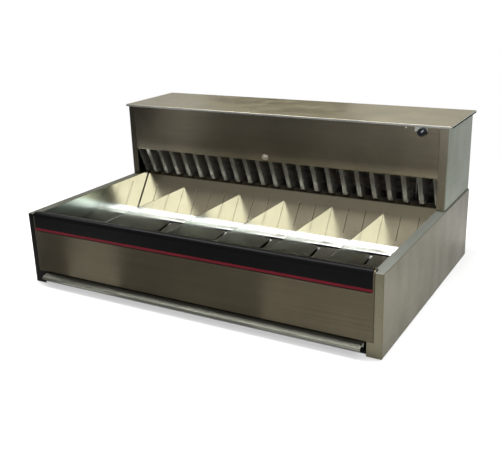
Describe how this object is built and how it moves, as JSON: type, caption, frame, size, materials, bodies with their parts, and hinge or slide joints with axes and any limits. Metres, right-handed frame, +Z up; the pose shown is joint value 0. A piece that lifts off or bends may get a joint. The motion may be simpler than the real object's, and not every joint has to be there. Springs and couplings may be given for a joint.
{
  "type": "chip warmer",
  "caption": "Countertop heated holding station: sectioned steel trough with lift-out dividers and screens under a hood that blows warm air, with a pull-out crumb tray.",
  "frame": {"origin": "middle of the footprint, on the counter the warmer stands on", "axes": "+X to the right along the front, +Y from the front to the rear, +Z up"},
  "size_m": [1.026, 0.735, 0.424],
  "materials": {
    "brushed_steel": "fine horizontal grain",
    "mirror_steel": "bright, fine grain",
    "bright_steel": "bright",
    "zinc": "zinc-coated sheet",
    "black_trim": "satin black",
    "red_stripe": "gloss red line",
    "black_plastic": "moulded black",
    "white_mark": "white inlay",
    "label_metal": "satin plate",
    "cream_plastic": "moulded",
    "heater_sheath": "heat-tinted sheath",
    "motor_enamel": "dark enamel"
  },
  "bodies": {
    "cabinet": {"air_vanes": "mirror_steel", "base_pan": "zinc", "base_rear_panel": "brushed_steel", "base_side_left": "brushed_steel", "base_side_right": "brushed_steel", "blower_motor": "motor_enamel", "cord_gland": "black_plastic", "dial_plate": "label_metal", "edge_trim": "black_trim", "fascia_lock": "bright_steel", "fascia_screw": "bright_steel", "front_panel": "brushed_steel", "gland_locknut": "zinc", "heater_bracket_left": "zinc", "heater_bracket_right": "zinc", "heater_element": "heater_sheath", "hood_fascia": "brushed_steel", "hood_floor": "zinc", "hood_rear_panel": "brushed_steel", "hood_side_left": "brushed_steel", "hood_side_right": "brushed_steel", "limit_thermostat": "zinc", "motor_saddle": "zinc", "plenum_box": "zinc", "rear_screws": "bright_steel", "red_stripe": "red_stripe", "scroll_housing_left": "zinc", "scroll_housing_right": "zinc", "switch_body": "black_plastic", "terminal_block": "cream_plastic", "top_cover": "brushed_steel", "tray_runner_left": "zinc", "tray_runner_right": "zinc", "trough_back": "mirror_steel", "trough_cove": "mirror_steel", "trough_end_left": "mirror_steel", "trough_end_right": "mirror_steel", "trough_front": "mirror_steel", "vane_end_left": "mirror_steel", "vane_end_right": "mirror_steel"},
    "crumb_tray": {"crumb_tray": "brushed_steel"},
    "knob": {"control_knob": "black_plastic", "knob_pointer": "white_mark"},
    "rotor": {"blower_shaft": "bright_steel", "blower_wheel_left": "zinc", "blower_wheel_right": "zinc"},
    "screen_1": {"product_screen_1": "mirror_steel"},
    "screen_2": {"product_screen_2": "mirror_steel"},
    "screen_3": {"product_screen_3": "mirror_steel"},
    "screen_4": {"product_screen_4": "mirror_steel"},
    "screen_5": {"product_screen_5": "mirror_steel"},
    "screen_6": {"product_screen_6": "mirror_steel"},
    "divider_1": {"divider_1": "mirror_steel"},
    "divider_2": {"divider_2": "mirror_steel"},
    "divider_3": {"divider_3": "mirror_steel"},
    "divider_4": {"divider_4": "mirror_steel"},
    "divider_5": {"divider_5": "mirror_steel"}
  },
  "joints": [
    {"name": "tray_slide", "type": "slide", "parent": "cabinet", "child": "crumb_tray", "axis": [0, -1, 0], "range_m": [0, 0.4]},
    {"name": "knob_turn", "type": "hinge", "parent": "cabinet", "child": "knob", "pos_m": [0.438, 0.1125, 0.406], "axis": [0, 1, 0], "range_deg": [-90, 0]},
    {"name": "rotor_spin", "type": "hinge", "parent": "cabinet", "child": "rotor", "pos_m": [0, 0.2965, 0.2574], "axis": [1, 0, 0], "continuous": true},
    {"name": "screen_1_lift", "type": "slide", "parent": "cabinet", "child": "screen_1", "axis": [0, 0, 1], "range_m": [0, 0.16]},
    {"name": "screen_2_lift", "type": "slide", "parent": "cabinet", "child": "screen_2", "axis": [0, 0, 1], "range_m": [0, 0.16]},
    {"name": "screen_3_lift", "type": "slide", "parent": "cabinet", "child": "screen_3", "axis": [0, 0, 1], "range_m": [0, 0.16]},
    {"name": "screen_4_lift", "type": "slide", "parent": "cabinet", "child": "screen_4", "axis": [0, 0, 1], "range_m": [0, 0.16]},
    {"name": "screen_5_lift", "type": "slide", "parent": "cabinet", "child": "screen_5", "axis": [0, 0, 1], "range_m": [0, 0.16]},
    {"name": "screen_6_lift", "type": "slide", "parent": "cabinet", "child": "screen_6", "axis": [0, 0, 1], "range_m": [0, 0.16]},
    {"name": "divider_1_lift", "type": "slide", "parent": "cabinet", "child": "divider_1", "axis": [0, -0.2588, 0.9659], "range_m": [0, 0.2]},
    {"name": "divider_2_lift", "type": "slide", "parent": "cabinet", "child": "divider_2", "axis": [0, -0.2588, 0.9659], "range_m": [0, 0.2]},
    {"name": "divider_3_lift", "type": "slide", "parent": "cabinet", "child": "divider_3", "axis": [0, -0.2588, 0.9659], "range_m": [0, 0.2]},
    {"name": "divider_4_lift", "type": "slide", "parent": "cabinet", "child": "divider_4", "axis": [0, -0.2588, 0.9659], "range_m": [0, 0.2]},
    {"name": "divider_5_lift", "type": "slide", "parent": "cabinet", "child": "divider_5", "axis": [0, -0.2588, 0.9659], "range_m": [0, 0.2]}
  ]
}
